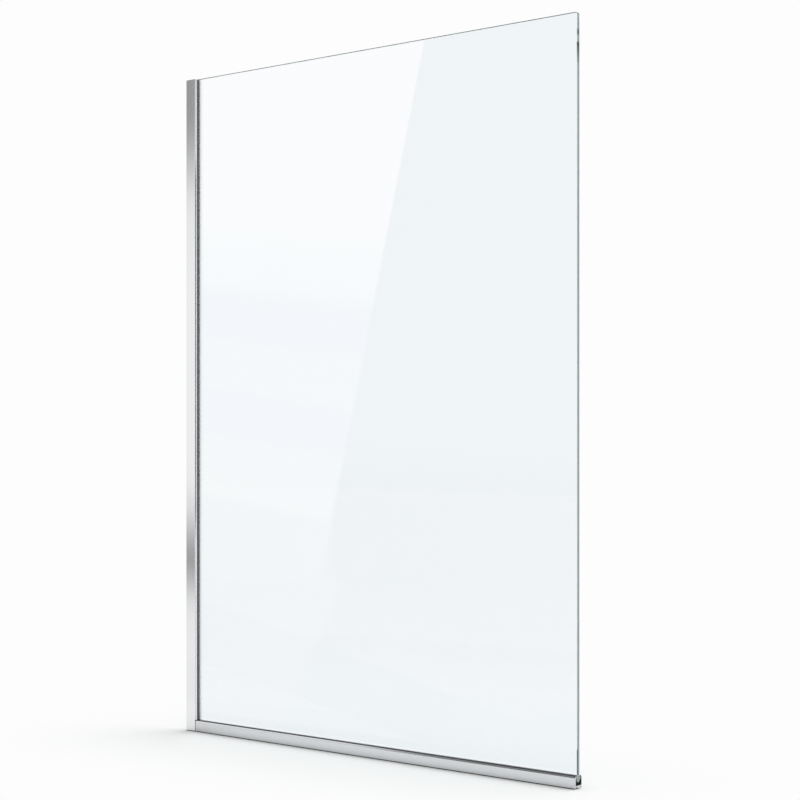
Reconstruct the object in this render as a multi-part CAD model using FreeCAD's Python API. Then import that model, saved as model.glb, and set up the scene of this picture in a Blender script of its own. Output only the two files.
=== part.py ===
import FreeCAD, Part
import math
import os

# Fixed glass bath screen: one glass pane in a wall channel and a bottom rail. Millimetres.
# X runs from the wall along the glass, Y from the front to the bath side, Z up from the bath's rim.
# The origin is on the wall's face, in the middle plane of the glass, at the height of the rim.

# The whole screen
screen_width = 1000.0
screen_height = 1400.0

# Glass pane
glass_thickness = 8.0
glass_top_radius = 5.0
glass_foot_radius = 2.0
glass_arris = 0.6

# Wall channel, an extruded U that opens away from the wall
channel_depth = 27.0
channel_width = 21.0
channel_wall = 1.6
channel_edge_radius = 0.7

# Inner profile, a smaller U that slides in the wall channel and holds the glass
slide_clearance = 0.15
profile_wall = 1.3
profile_reveal = 4.0
profile_edge_radius = 0.4
screw_head_room = 3.0
profile_glass_hold = 10.0

# Bottom rail, an extruded U with a shallow recess under its web for the rim seal
rim_gap = 1.5
rail_height = 22.0
rail_width = 21.0
rail_wall = 2.0
rail_web = 3.3
rail_recess = 1.5
rail_chamfer_rise = 3.2
rail_chamfer_run = 1.5
rail_chamfer_radius = 1.2
rail_front_foot_radius = 0.6
rail_rear_foot_radius = 1.5
rail_channel_gap = 1.8

# Seals and packers
setting_strip_height = 5.5
setting_strip_setback = 1.0
rim_seal_setback = 6.0
seal_side_clearance = 0.1
rail_gasket_start = 13.7
rail_gasket_depth = 8.0
rail_gasket_setback = 0.3
rail_gasket_foot_setback = 3.5
rail_rear_seal_start = 6.0
rail_rear_seal_setback = 1.7
rail_gasket_lip = 1.2
rail_gasket_slope = 0.6
rail_rear_lip = 0.4
gasket_plate_clearance = 1.6
profile_gasket_lip = 0.9
profile_gasket_cover = 1.2
gasket_round = 0.35
barb_height = 0.6
barb_width = 1.0
barb_depth = 2.4
corner_pad_height = 2.0
corner_pad_length = 5.0
packer_length = 60.0
packer_count = 3
packer_end_distance = 150.0
packer_side_clearance = 0.2

# End caps
cap_plate = 1.2
cap_gap = 0.2
cap_glass_clearance = 0.6
cap_plug_length = 12.0
cap_plug_clearance = 0.15

# Foot plug of the wall channel
foot_flange_inset = 1.0
foot_plug_below_glass = 1.3
foot_plug_beside_glass = 0.3
foot_plug_behind_glass = 1.0
foot_plug_below_profile = 0.5

# Wall fixing slots
wall_slot_width = 6.0
wall_slot_length = 12.0
wall_slot_outer_spacing = 1200.0
wall_slot_inner_spacing = 400.0

# Clamp screws through the bath side of the wall channel
clamp_count = 4
clamp_end_distance = 120.0
clamp_screw_radius = 2.0
clamp_hole_clearance = 0.2
clamp_slot_spare = 0.2
clamp_screw_tip = 0.35
clamp_head_radius = 3.9
clamp_head_height = 2.2
clamp_head_round = 0.8
clamp_recess_length = 3.8
clamp_recess_width = 0.9
clamp_recess_depth = 1.2
clamp_plate_width = 7.0
clamp_plate_height = 18.0
clamp_plate_thickness = 2.5
clamp_plate_clearance = 0.05
clamp_travel_clearance = 0.3
clamp_thread_clearance = 0.02
cap_base_radius = 5.5
cap_base_thickness = 1.0
screw_cap_wall = 0.9
screw_cap_fit = 0.1
screw_cap_head_room = 0.3
screw_cap_round = 1.1
screw_cap_margin = 0.8

# Places that follow from the sizes above
profile_back = channel_wall + screw_head_room
profile_front = channel_depth + profile_reveal
profile_width = channel_width - 2 * (channel_wall + slide_clearance)
profile_inner_width = profile_width - 2 * profile_wall
# The metal stands clear of the rim by the part of the rim seal and of the foot plug that shows below it.
rail_top = rim_gap + rail_height
profile_bottom = rail_top + corner_pad_height
glass_edge = profile_front - profile_glass_hold
web_bottom = rim_gap + rail_recess
web_top = web_bottom + rail_web
glass_bottom = web_top + setting_strip_height
glass_half = glass_thickness / 2
rail_start = channel_depth + rail_channel_gap
rail_inner_width = rail_width - 2 * rail_wall
channel_cap_bottom = screen_height - cap_plate
profile_cap_bottom = channel_cap_bottom - cap_gap - cap_plate
screw_cap_inner_radius = cap_base_radius + screw_cap_fit
screw_cap_radius = screw_cap_inner_radius + screw_cap_wall
clamp_x = channel_depth - screw_cap_radius - screw_cap_margin
clamp_face = channel_width / 2
clamp_plate_back = clamp_x - clamp_plate_width / 2
gasket_back = clamp_x + clamp_plate_width / 2 + gasket_plate_clearance
# The glass can be drawn out until the inner profile's web comes close to the clamp plates.
width_travel = clamp_plate_back - clamp_travel_clearance - profile_back - profile_wall


def place(plane, u, v):
    """The point at (u, v) of the named plane."""
    if plane == "xy":
        return FreeCAD.Vector(u, v, 0)
    if plane == "yz":
        return FreeCAD.Vector(0, u, v)
    return FreeCAD.Vector(u, 0, v)


def section(plane, corners):
    """A face through (u, v, radius) corners. A radius of 0 leaves a corner sharp."""
    count = len(corners)
    points = [place(plane, u, v) for u, v, _ in corners]
    edges = []
    starts = []
    ends = []
    for index, point in enumerate(points):
        before = (points[index - 1] - point).normalize()
        after = (points[(index + 1) % count] - point).normalize()
        radius = corners[index][2]
        half_angle = before.getAngle(after) / 2
        reach = radius / math.tan(half_angle)
        starts.append(point + before * reach)
        ends.append(point + after * reach)
        if radius > 0:
            inward = (before + after).normalize()
            middle = point + inward * (radius / math.sin(half_angle) - radius)
            edges.append(Part.Arc(starts[-1], middle, ends[-1]).toShape())
    for index in range(count):
        start = ends[index]
        end = starts[(index + 1) % count]
        if start.distanceToPoint(end) > 1e-6:
            edges.append(Part.LineSegment(start, end).toShape())
    return Part.Face(Part.Wire(Part.__sortEdges__(edges)))


def upright(corners, bottom, top):
    """A section in plan, extruded from bottom to top."""
    solid = section("xy", corners).extrude(FreeCAD.Vector(0, 0, top - bottom))
    return solid.translated(FreeCAD.Vector(0, 0, bottom))


def lengthwise(corners, start, end):
    """A section seen from the free edge, extruded along X from start to end."""
    solid = section("yz", corners).extrude(FreeCAD.Vector(end - start, 0, 0))
    return solid.translated(FreeCAD.Vector(start, 0, 0))


def block(x_range, y_range, z_range):
    """A box between the given limits."""
    size = [high - low for low, high in (x_range, y_range, z_range)]
    corner = FreeCAD.Vector(x_range[0], y_range[0], z_range[0])
    return Part.makeBox(*size, corner)


def slot(axis, centre, wall, radius, length):
    """A round-ended cutter for a slot through a wall, from the middle of the wall both ways.

    axis is the wall's normal. The slot runs along Z in a wall across X, and along X in a wall across Y.
    """
    reach = 3 * wall
    along = FreeCAD.Vector(0, 0, 1) if axis.x else FreeCAD.Vector(1, 0, 0)
    offset = along * (length / 2 - radius)
    back = centre - axis * (reach / 2)
    ends = [Part.makeCylinder(radius, reach, back + offset * side, axis) for side in (-1, 1)]
    across = axis.cross(along)
    low = back - offset - across * radius
    wide = across * (2 * radius)
    corners = [low, low + offset * 2, low + offset * 2 + wide, low + wide]
    middle = Part.Face(Part.makePolygon(corners + corners[:1])).extrude(axis * reach)
    return ends[0].fuse([ends[1], middle]).removeSplitter()


def clamp_heights():
    """Heights of the clamp screws, evenly spread between the end distances."""
    span = screen_height - 2 * clamp_end_distance
    return [clamp_end_distance + span * index / (clamp_count - 1) for index in range(clamp_count)]


def packer_heights():
    """Heights of the glass packers' middles."""
    span = screen_height - 2 * packer_end_distance
    return [packer_end_distance + span * index / (packer_count - 1) for index in range(packer_count)]


def barb(plane, side, leg, mouth):
    """Corners of the ridge on a leg's inner face that holds a gasket in, from the mouth inwards.

    The profile in plan opens along X, and the rail's section opens along Z.
    """
    near = mouth - barb_depth
    far = near - barb_width
    raised = leg - barb_height
    if plane == "xy":
        steps = [(near, leg), (near, raised), (far, leg)]
        return [(along, side * across, 0) for along, across in steps]
    steps = [(leg, near), (raised, near), (leg, far)]
    return [(side * across, along, 0) for across, along in steps]


def channel_outline(radius_at_mouth):
    """Corners of the wall channel's outer outline in plan."""
    half = channel_width / 2
    return [
        (0, -half, channel_edge_radius),
        (channel_depth, -half, radius_at_mouth),
        (channel_depth, half, radius_at_mouth),
        (0, half, channel_edge_radius),
    ]


def wall_channel():
    half = channel_width / 2
    inner = half - channel_wall
    tip = channel_wall / 4
    corners = [
        (0, -half, channel_edge_radius),
        (channel_depth, -half, tip),
        (channel_depth, -inner, tip),
        (channel_wall, -inner, 0),
        (channel_wall, inner, 0),
        (channel_depth, inner, tip),
        (channel_depth, half, tip),
        (0, half, channel_edge_radius),
    ]
    channel = upright(corners, rim_gap, channel_cap_bottom)
    cutters = []
    for spacing in (wall_slot_outer_spacing, wall_slot_inner_spacing):
        for side in (-1, 1):
            centre = FreeCAD.Vector(channel_wall / 2, 0, screen_height / 2 + side * spacing / 2)
            across = FreeCAD.Vector(1, 0, 0)
            cutters.append(slot(across, centre, channel_wall, wall_slot_width / 2, wall_slot_length))
    hole_radius = clamp_screw_radius + clamp_hole_clearance
    for height in clamp_heights():
        start = FreeCAD.Vector(clamp_x, half - 2 * channel_wall, height)
        cutters.append(Part.makeCylinder(hole_radius, 3 * channel_wall, start, FreeCAD.Vector(0, 1, 0)))
    return channel.cut(cutters)


def channel_top_cap():
    """Cap over the wall channel's top. A notch lets the glass slide out with the inner profile."""
    plate = upright(channel_outline(channel_wall / 4), channel_cap_bottom, screen_height)
    notch = glass_half + cap_glass_clearance
    over = (channel_cap_bottom - cap_plate, screen_height + cap_plate)
    plate = plate.cut(block((glass_edge - 2 * cap_glass_clearance, 2 * channel_depth), (-notch, notch), over))
    reach = profile_width / 2 - cap_plug_clearance
    plug = block(
        (channel_wall + cap_plug_clearance, profile_back - cap_plug_clearance),
        (-reach, reach),
        (channel_cap_bottom - cap_plug_length, channel_cap_bottom),
    )
    return plate.fuse(plug)


def channel_foot_plug():
    """Soft plug in the foot of the wall channel. Its flange lies between the channel's sawn end and the rim.

    Two cheeks rise beside the glass and fill the channel's mouth up to the inner profile's lower end.
    """
    flange_half = channel_width / 2 - foot_flange_inset
    flange = block((0, channel_depth - foot_flange_inset / 2), (-flange_half, flange_half), (0, rim_gap))
    half = channel_width / 2 - channel_wall - seal_side_clearance
    body = block(
        (channel_wall, channel_depth - seal_side_clearance),
        (-half, half),
        (0, profile_bottom - foot_plug_below_profile),
    )
    notch_half = glass_half + foot_plug_beside_glass
    notch = block(
        (glass_edge - foot_plug_behind_glass, rail_start),
        (-notch_half, notch_half),
        (glass_bottom - foot_plug_below_glass, profile_bottom),
    )
    return body.cut(notch).fuse(flange).removeSplitter()


def inner_profile():
    outer = profile_width / 2
    inner = profile_inner_width / 2
    inside = profile_back + profile_wall
    tip = profile_wall / 4
    corners = [
        (profile_back, -outer, profile_edge_radius),
        (profile_front, -outer, tip),
        (profile_front, -inner, tip),
        *barb("xy", -1, inner, profile_front),
        (inside, -inner, 0),
        (inside, inner, 0),
        *reversed(barb("xy", 1, inner, profile_front)),
        (profile_front, inner, tip),
        (profile_front, outer, tip),
        (profile_back, outer, profile_edge_radius),
    ]
    profile = upright(corners, profile_bottom, profile_cap_bottom)
    radius = clamp_screw_radius + clamp_hole_clearance
    length = width_travel + 2 * (clamp_slot_spare + radius)
    cutters = []
    for height in clamp_heights():
        centre = FreeCAD.Vector(clamp_x - width_travel / 2, (inner + outer) / 2, height)
        cutters.append(slot(FreeCAD.Vector(0, 1, 0), centre, profile_wall, radius, length))
    return profile.cut(cutters)


def inner_top_cap():
    """Cap on the inner profile, below the channel's cap, with a notch for the glass."""
    half = profile_width / 2
    top = profile_cap_bottom + cap_plate
    corners = [
        (profile_back, -half, profile_edge_radius),
        (profile_front, -half, profile_edge_radius),
        (profile_front, half, profile_edge_radius),
        (profile_back, half, profile_edge_radius),
    ]
    plate = upright(corners, profile_cap_bottom, top)
    notch = glass_half + cap_glass_clearance / 2
    notch_back = glass_edge - cap_glass_clearance
    plate = plate.cut(block((notch_back, 2 * profile_front), (-notch, notch), (0, 2 * screen_height)))
    reach = profile_inner_width / 2 - cap_plug_clearance
    plug = block(
        (profile_back + profile_wall + cap_plug_clearance, notch_back - cap_plate),
        (-reach, reach),
        (profile_cap_bottom - cap_plug_length, profile_cap_bottom),
    )
    return plate.fuse(plug)


def glass_pane():
    """Toughened pane with a rounded free top corner and ground arrises."""
    corners = [
        (glass_edge, glass_bottom, glass_foot_radius),
        (screen_width, glass_bottom, glass_foot_radius),
        (screen_width, screen_height, glass_top_radius),
        (glass_edge, screen_height, glass_foot_radius),
    ]
    pane = section("xz", corners).extrude(FreeCAD.Vector(0, glass_thickness, 0))
    pane = pane.translated(FreeCAD.Vector(0, -glass_half, 0))
    rims = [edge for edge in pane.Edges if abs(edge.BoundBox.YLength) < 1e-6]
    return pane.makeChamfer(glass_arris, rims)


def profile_gasket(side):
    """Gasket between the inner profile's leg and the glass. side is -1 at the front, 1 at the bath side."""
    leg = profile_inner_width / 2
    cover = leg + profile_gasket_cover
    nose = profile_front + profile_gasket_lip
    corners = [
        (gasket_back, side * glass_half, 0),
        (nose, side * glass_half, 0),
        (nose, side * cover, gasket_round),
        (profile_front, side * cover, 0),
        (profile_front, side * leg, 0),
        *barb("xy", side, leg, profile_front),
        (gasket_back, side * leg, 0),
    ]
    return upright(corners, profile_bottom, profile_cap_bottom)


def edge_packers():
    """Packers that hold the glass's wall edge off the inner profile's web."""
    half = glass_half - packer_side_clearance
    middle = packer_length / 2
    inside = profile_back + profile_wall
    packers = [
        block((inside, glass_edge), (-half, half), (height - middle, height + middle))
        for height in packer_heights()
    ]
    return Part.makeCompound(packers)


def bottom_rail():
    half = rail_width / 2
    inner = rail_inner_width / 2
    shoulder = rail_top - rail_chamfer_rise
    top = half - rail_chamfer_run
    corners = [
        (-half, rim_gap, rail_front_foot_radius),
        (-half, shoulder, rail_chamfer_radius),
        (-top, rail_top, 0),
        (-inner, rail_top, 0),
        *barb("yz", -1, inner, rail_top),
        (-inner, web_top, 0),
        (inner, web_top, 0),
        *reversed(barb("yz", 1, inner, rail_top)),
        (inner, rail_top, 0),
        (top, rail_top, 0),
        (half, shoulder, rail_chamfer_radius),
        (half, rim_gap, rail_rear_foot_radius),
        (inner, rim_gap, 0),
        (inner, web_bottom, 0),
        (-inner, web_bottom, 0),
        (-inner, rim_gap, 0),
    ]
    return lengthwise(corners, rail_start, screen_width)


def rail_gasket_front():
    """Black gasket with a lip that stands above the rail's front leg.

    At the free edge the foot is cut back between the leg and the glass, and the lip runs on to the end.
    """
    leg = rail_inner_width / 2
    lip = rail_top + rail_gasket_lip
    corners = [
        (-leg, rail_top - rail_gasket_depth, 0),
        *reversed(barb("yz", -1, leg, rail_top)),
        (-leg, lip, gasket_round),
        (-glass_half, lip + rail_gasket_slope, 0),
        (-glass_half, rail_top - rail_gasket_depth, 0),
    ]
    gasket = lengthwise(corners, rail_start + rail_gasket_start, screen_width - rail_gasket_setback)
    cut_back = (screen_width - rail_gasket_foot_setback, screen_width)
    return gasket.cut(block(cut_back, (-leg, -glass_half), (0, rail_top)))


def rail_seal_rear():
    """Clear seal on the bath side of the glass in the rail."""
    leg = rail_inner_width / 2
    lip = rail_top + rail_rear_lip
    corners = [
        (glass_half, rail_top - rail_gasket_depth, 0),
        (glass_half, lip, 0),
        (leg, lip, gasket_round),
        *barb("yz", 1, leg, rail_top),
        (leg, rail_top - rail_gasket_depth, 0),
    ]
    return lengthwise(corners, rail_start + rail_rear_seal_start, screen_width - rail_rear_seal_setback)


def rail_setting_strip():
    """Rubber strip on the rail's web that carries the glass."""
    half = rail_inner_width / 2 - seal_side_clearance
    ends = (rail_start, screen_width - setting_strip_setback)
    return block(ends, (-half, half), (web_top, glass_bottom))


def rim_seal():
    """Rubber strip in the recess under the rail. It reaches the rim below the rail's feet."""
    half = rail_inner_width / 2 - seal_side_clearance
    ends = (rail_start, screen_width - rim_seal_setback)
    return block(ends, (-half, half), (0, web_bottom))


def corner_pad(side):
    """Pad at the rail's wall end on one side of the glass, under the inner profile's lower end."""
    leg = rail_inner_width / 2
    outer = profile_width / 2
    corners = [
        (side * glass_half, rail_top - rail_gasket_depth, 0),
        (side * leg, rail_top - rail_gasket_depth, 0),
        *reversed(barb("yz", side, leg, rail_top)),
        (side * leg, rail_top, 0),
        (side * outer, rail_top, 0),
        (side * outer, profile_bottom, 0),
        (side * glass_half, profile_bottom, 0),
    ]
    return lengthwise(corners, rail_start, rail_start + corner_pad_length)


def clamp_axis(height, y):
    """Point on a clamp screw's axis at the given height and distance from the glass's middle plane."""
    return FreeCAD.Vector(clamp_x, y, height)


def clamp_screw(height):
    """Pan-head screw with a cross recess, from the cap base through to the clamp plate."""
    outward = FreeCAD.Vector(0, 1, 0)
    seat = clamp_face + cap_base_thickness
    plate_inner = profile_inner_width / 2 - clamp_plate_clearance - clamp_plate_thickness
    tip = plate_inner - clamp_screw_tip
    shank = Part.makeCylinder(clamp_screw_radius, seat - tip, clamp_axis(height, tip), outward)
    head = Part.makeCylinder(clamp_head_radius, clamp_head_height, clamp_axis(height, seat), outward)
    crown = [edge for edge in head.Edges if edge.BoundBox.YMin > seat + clamp_head_height / 2]
    head = head.makeFillet(clamp_head_round, crown)
    low = seat + clamp_head_height - clamp_recess_depth
    y_range = (low, low + 2 * clamp_recess_depth)
    long_half = clamp_recess_length / 2
    short_half = clamp_recess_width / 2
    recess = [
        block(
            (clamp_x - x_half, clamp_x + x_half),
            y_range,
            (height - z_half, height + z_half),
        )
        for x_half, z_half in ((long_half, short_half), (short_half, long_half))
    ]
    return shank.fuse(head).cut(recess)


def clamp_plate(height):
    """Threaded plate that draws the inner profile's leg against the wall channel."""
    outer = profile_inner_width / 2 - clamp_plate_clearance
    inner = outer - clamp_plate_thickness
    half_width = clamp_plate_width / 2
    half_height = clamp_plate_height / 2
    plate = block(
        (clamp_x - half_width, clamp_x + half_width),
        (inner, outer),
        (height - half_height, height + half_height),
    )
    thread_radius = clamp_screw_radius + clamp_thread_clearance
    start = clamp_axis(height, inner - clamp_plate_thickness)
    outward = FreeCAD.Vector(0, 1, 0)
    return plate.cut(Part.makeCylinder(thread_radius, 3 * clamp_plate_thickness, start, outward))


def screw_cap_base(height):
    """Washer under the screw's head that the cover cap snaps on."""
    outward = FreeCAD.Vector(0, 1, 0)
    ring = Part.makeCylinder(cap_base_radius, cap_base_thickness, clamp_axis(height, clamp_face), outward)
    bore_radius = clamp_screw_radius + clamp_hole_clearance
    start = clamp_axis(height, clamp_face - cap_base_thickness)
    return ring.cut(Part.makeCylinder(bore_radius, 3 * cap_base_thickness, start, outward))


def screw_cap(height):
    """Round cover cap over one clamp screw."""
    outward = FreeCAD.Vector(0, 1, 0)
    inner_depth = cap_base_thickness + clamp_head_height + screw_cap_head_room
    outer_depth = inner_depth + screw_cap_wall
    body = Part.makeCylinder(screw_cap_radius, outer_depth, clamp_axis(height, clamp_face), outward)
    crown = [edge for edge in body.Edges if edge.BoundBox.YMin > clamp_face + outer_depth / 2]
    body = body.makeFillet(screw_cap_round, crown)
    hollow = Part.makeCylinder(screw_cap_inner_radius, inner_depth, clamp_axis(height, clamp_face), outward)
    return body.cut(hollow)


def at_each_clamp(maker):
    """One copy of a piece at each clamp screw."""
    return Part.makeCompound([maker(height) for height in clamp_heights()])


def screen():
    """Every node of the screen by name."""
    return {
        "wall_channel": wall_channel(),
        "channel_top_cap": channel_top_cap(),
        "channel_foot_plug": channel_foot_plug(),
        "clamp_screws": at_each_clamp(clamp_screw),
        "clamp_plates": at_each_clamp(clamp_plate),
        "screw_cap_bases": at_each_clamp(screw_cap_base),
        "screw_caps": at_each_clamp(screw_cap),
        "inner_profile": inner_profile(),
        "inner_top_cap": inner_top_cap(),
        "profile_gasket_front": profile_gasket(-1),
        "profile_seal_rear": profile_gasket(1),
        "edge_packers": edge_packers(),
        "glass_pane": glass_pane(),
        "bottom_rail": bottom_rail(),
        "rail_gasket_front": rail_gasket_front(),
        "rail_seal_rear": rail_seal_rear(),
        "rail_setting_strip": rail_setting_strip(),
        "rim_seal": rim_seal(),
        "corner_pad_front": corner_pad(-1),
        "corner_pad_rear": corner_pad(1),
    }


os.makedirs("parts", exist_ok=True)
print(f"the glass side slides out by {width_travel:.2f} mm")
for node, shape in screen().items():
    shape.exportStep(f"parts/{node}.step")
    box = shape.BoundBox
    print(
        f"{node}: {len(shape.Solids)} solids, valid {shape.isValid()}, {shape.Volume / 1000:.2f} cm3, "
        f"X {box.XMin:.2f} to {box.XMax:.2f}, Y {box.YMin:.2f} to {box.YMax:.2f}, "
        f"Z {box.ZMin:.2f} to {box.ZMax:.2f}"
    )
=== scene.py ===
# %% [markdown]
# # A bath screen, dressed in Blender
# The model comes from CAD: one pane of glass, a wall channel with a sliding inner profile, a bottom rail,
# and the seals and small fixings between them. CAD gives every size and place. This lesson adds what CAD
# leaves out: polished metal, clear glass with a ground edge, gaskets with a round nose, and fixings with
# threads.

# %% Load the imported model
from math import cos, pi, radians, sin, tan

import bmesh
import bpy
from mathutils import Matrix, Vector


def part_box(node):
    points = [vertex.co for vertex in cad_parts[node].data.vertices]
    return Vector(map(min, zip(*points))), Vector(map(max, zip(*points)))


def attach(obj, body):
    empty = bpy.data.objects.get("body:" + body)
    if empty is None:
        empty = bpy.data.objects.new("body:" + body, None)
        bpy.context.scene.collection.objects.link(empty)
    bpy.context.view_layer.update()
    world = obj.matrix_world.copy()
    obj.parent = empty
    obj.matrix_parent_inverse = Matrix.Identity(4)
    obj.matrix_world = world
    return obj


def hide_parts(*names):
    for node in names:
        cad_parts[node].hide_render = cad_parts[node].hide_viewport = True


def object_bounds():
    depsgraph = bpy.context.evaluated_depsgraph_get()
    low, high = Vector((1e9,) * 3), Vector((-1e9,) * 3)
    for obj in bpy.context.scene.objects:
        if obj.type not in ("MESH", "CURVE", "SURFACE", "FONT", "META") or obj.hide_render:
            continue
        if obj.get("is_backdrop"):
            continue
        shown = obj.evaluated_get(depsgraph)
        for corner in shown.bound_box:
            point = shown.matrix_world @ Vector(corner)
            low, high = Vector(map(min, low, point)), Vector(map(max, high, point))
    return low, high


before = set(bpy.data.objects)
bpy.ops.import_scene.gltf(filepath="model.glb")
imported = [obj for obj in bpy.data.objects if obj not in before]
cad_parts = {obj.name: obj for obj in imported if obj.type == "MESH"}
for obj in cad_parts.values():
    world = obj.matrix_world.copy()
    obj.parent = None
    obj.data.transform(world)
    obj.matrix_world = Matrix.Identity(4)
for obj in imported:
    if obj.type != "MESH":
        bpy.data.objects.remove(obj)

cad_low, cad_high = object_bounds()
print("CAD box", [round(v, 4) for v in cad_low], [round(v, 4) for v in cad_high])

# %% [markdown]
# ## The camera
# The photograph looks level at the screen from the right, so its uprights stay parallel. A turned camera
# that is tilted down would make them lean. A level camera with a little vertical shift keeps them straight,
# which is how an architect's camera with a rising front works.

# %% Place the camera
FRAME_PIXELS = 800
LENS_PIXELS = 1762.65
SHIFT_PIXELS = 31.04
CAMERA_PLACE = (2.7567, -2.6647, 0.6448)
CAMERA_TURN = 39.171
camera_data = bpy.data.cameras.new("camera")
camera_data.sensor_width = 36
camera_data.lens = LENS_PIXELS / FRAME_PIXELS * camera_data.sensor_width
camera_data.shift_y = SHIFT_PIXELS / FRAME_PIXELS
camera = bpy.data.objects.new("camera", camera_data)
camera.location = CAMERA_PLACE
camera.rotation_euler = (pi / 2, 0, radians(CAMERA_TURN))
bpy.context.scene.collection.objects.link(camera)
bpy.context.scene.camera = camera
print(f"lens {camera_data.lens:.2f} mm, shift {camera_data.shift_y:.4f}")

# %% [markdown]
# ## Small helpers for shader trees
# A shader tree is easier to read when each line makes one node and wires it at once. The first helper does
# that: it adds a node and fills or links its sockets. The others are the sums that come back again and
# again.

# %% Helpers that add nodes
def add(tree, kind, values=None, **settings):
    """Adds a node. values fills sockets by name or number, and a socket as a value is linked."""
    node = tree.nodes.new(kind)
    for name, setting in settings.items():
        setattr(node, name, setting)
    for key, value in (values or {}).items():
        socket = node.inputs[key]
        if isinstance(value, bpy.types.NodeSocket):
            tree.links.new(value, socket)
        else:
            socket.default_value = value
    return node


def calc(tree, operation, *operands, clamp=False):
    """One Math node, and its result."""
    values = dict(enumerate(operands))
    return add(tree, "ShaderNodeMath", values, operation=operation, use_clamp=clamp).outputs[0]


def product(tree, first, *others):
    """All the values multiplied together."""
    for other in others:
        first = calc(tree, "MULTIPLY", first, other)
    return first


def rest_of(tree, share):
    """What a share leaves of the whole."""
    return calc(tree, "SUBTRACT", 1.0, share)


def span(tree, value, low, high, to=(0.0, 1.0)):
    """The value scaled so that low gives the first number of to and high gives the second."""
    return add(tree, "ShaderNodeMapRange", {0: value, 1: low, 2: high, 3: to[0], 4: to[1]}).outputs[0]


# %% [markdown]
# ## Helpers for places, colours and finishes
# A pattern has to stay where it is when a piece slides, so every material here reads Object coordinates. A
# mask that depends on a height or on the way a face looks splits such a vector into X, Y and Z. The last
# helper opens a new material with its Principled shader, and sets what is the same all over on the shader
# itself.

# %% Helpers for places, colours and finishes
def own_place(tree):
    """Object coordinates, which stay with a piece when it moves."""
    return add(tree, "ShaderNodeTexCoord").outputs["Object"]


def split_xyz(tree, vector):
    """The X, Y and Z of a vector, by name."""
    return add(tree, "ShaderNodeSeparateXYZ", {0: vector}).outputs


def looks_along(tree):
    """The X, Y and Z of the direction that a face looks in."""
    return split_xyz(tree, add(tree, "ShaderNodeNewGeometry").outputs["True Normal"])


def mix_colours(tree, share, first, second):
    """Goes from the first colour to the second as share goes from 0 to 1. A colour may be a socket."""
    values = {0: share}
    for key, colour in ((6, first), (7, second)):
        values[key] = colour if isinstance(colour, bpy.types.NodeSocket) else (*colour, 1)
    return add(tree, "ShaderNodeMix", values, data_type="RGBA").outputs[2]


def ramp(tree, factor, stops):
    """A colour ramp through (place, colour) stops. A number as colour is a grey."""
    node = add(tree, "ShaderNodeValToRGB", {0: factor})
    elements = node.color_ramp.elements
    while len(elements) < len(stops):
        elements.new(0.5)
    for element, (position, colour) in zip(elements, stops):
        element.position = position
        element.color = (*([colour] * 3 if isinstance(colour, float) else colour), 1)
    return node.outputs[0]


def finish_named(name, colour, roughness, metallic=0.0, **constants):
    """A new material with a Principled shader, and the tree and shader to go on with."""
    material = bpy.data.materials.new(name)
    material.use_nodes = True
    tree = material.node_tree
    shader = tree.nodes["Principled BSDF"]
    shader.inputs["Base Color"].default_value = (*colour, 1)
    shader.inputs["Roughness"].default_value = roughness
    shader.inputs["Metallic"].default_value = metallic
    for socket, value in constants.items():
        shader.inputs[socket.replace("_", " ")].default_value = value
    return material, tree, shader


def wire(tree, shader, colour, height, strength, depth):
    """Links a colour into the shader, and a bump of the given strength and depth in metres from height."""
    bump = add(tree, "ShaderNodeBump", {"Strength": strength, "Distance": depth, "Height": height})
    tree.links.new(colour, shader.inputs["Base Color"])
    tree.links.new(bump.outputs[0], shader.inputs["Normal"])


# %% [markdown]
# ## Studio: the white world
# The photograph has a white background. A world of plain white light gives it at a strength of nearly 1 to
# cameras and mirrors, and lights the screen from all round at a little less, because a lamp adds the rest.
# Polished metal would hand that light on to the floor and leave the rail floating without a shadow, so
# light that comes to the floor by way of a mirror is held back here.

# %% White world
BACKDROP_WHITE = 0.982
LAMP_SHARE = 0.30
MIRROR_HOLD = 0.85
world = bpy.data.worlds.new("studio")
bpy.context.scene.world = world
world.use_nodes = True
world_tree = world.node_tree
rays = add(world_tree, "ShaderNodeLightPath").outputs
seen = calc(world_tree, "MAXIMUM", rays["Is Camera Ray"], rays["Is Glossy Ray"])
seen = calc(world_tree, "MAXIMUM", seen, rays["Is Transmission Ray"])
level = span(world_tree, seen, 0.0, 1.0, to=(1.0 - LAMP_SHARE, BACKDROP_WHITE))
after_floor = calc(world_tree, "GREATER_THAN", rays["Diffuse Depth"], 0.5)
kept = rest_of(world_tree, product(world_tree, after_floor, rays["Is Glossy Ray"], MIRROR_HOLD))
background = world_tree.nodes["Background"]
background.inputs["Color"].default_value = (1, 1, 1, 1)
world_tree.links.new(product(world_tree, level, kept), background.inputs["Strength"])
bpy.context.scene.view_settings.view_transform = "Standard"
print("backdrop white", BACKDROP_WHITE)

# %% [markdown]
# ## Studio: the floor
# The floor is white paint that gives back nearly all light, so it shows white and keeps the screen's soft
# shadow. In the photograph that shadow fades away within half a metre. A shader that glows like the
# backdrop takes over there, and the edge between floor and background disappears.

# %% Floor under the screen
FLOOR_REACH = 60.0
FLOOR_DROP = 0.0002
SHADOW_FADE = (0.06, 0.46)


def rectangle(across, along):
    """The corners of a rectangle in order, from the low and high ends of its two sides."""
    return [(across[0], along[0]), (across[1], along[0]), (across[1], along[1]), (across[0], along[1])]


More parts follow.
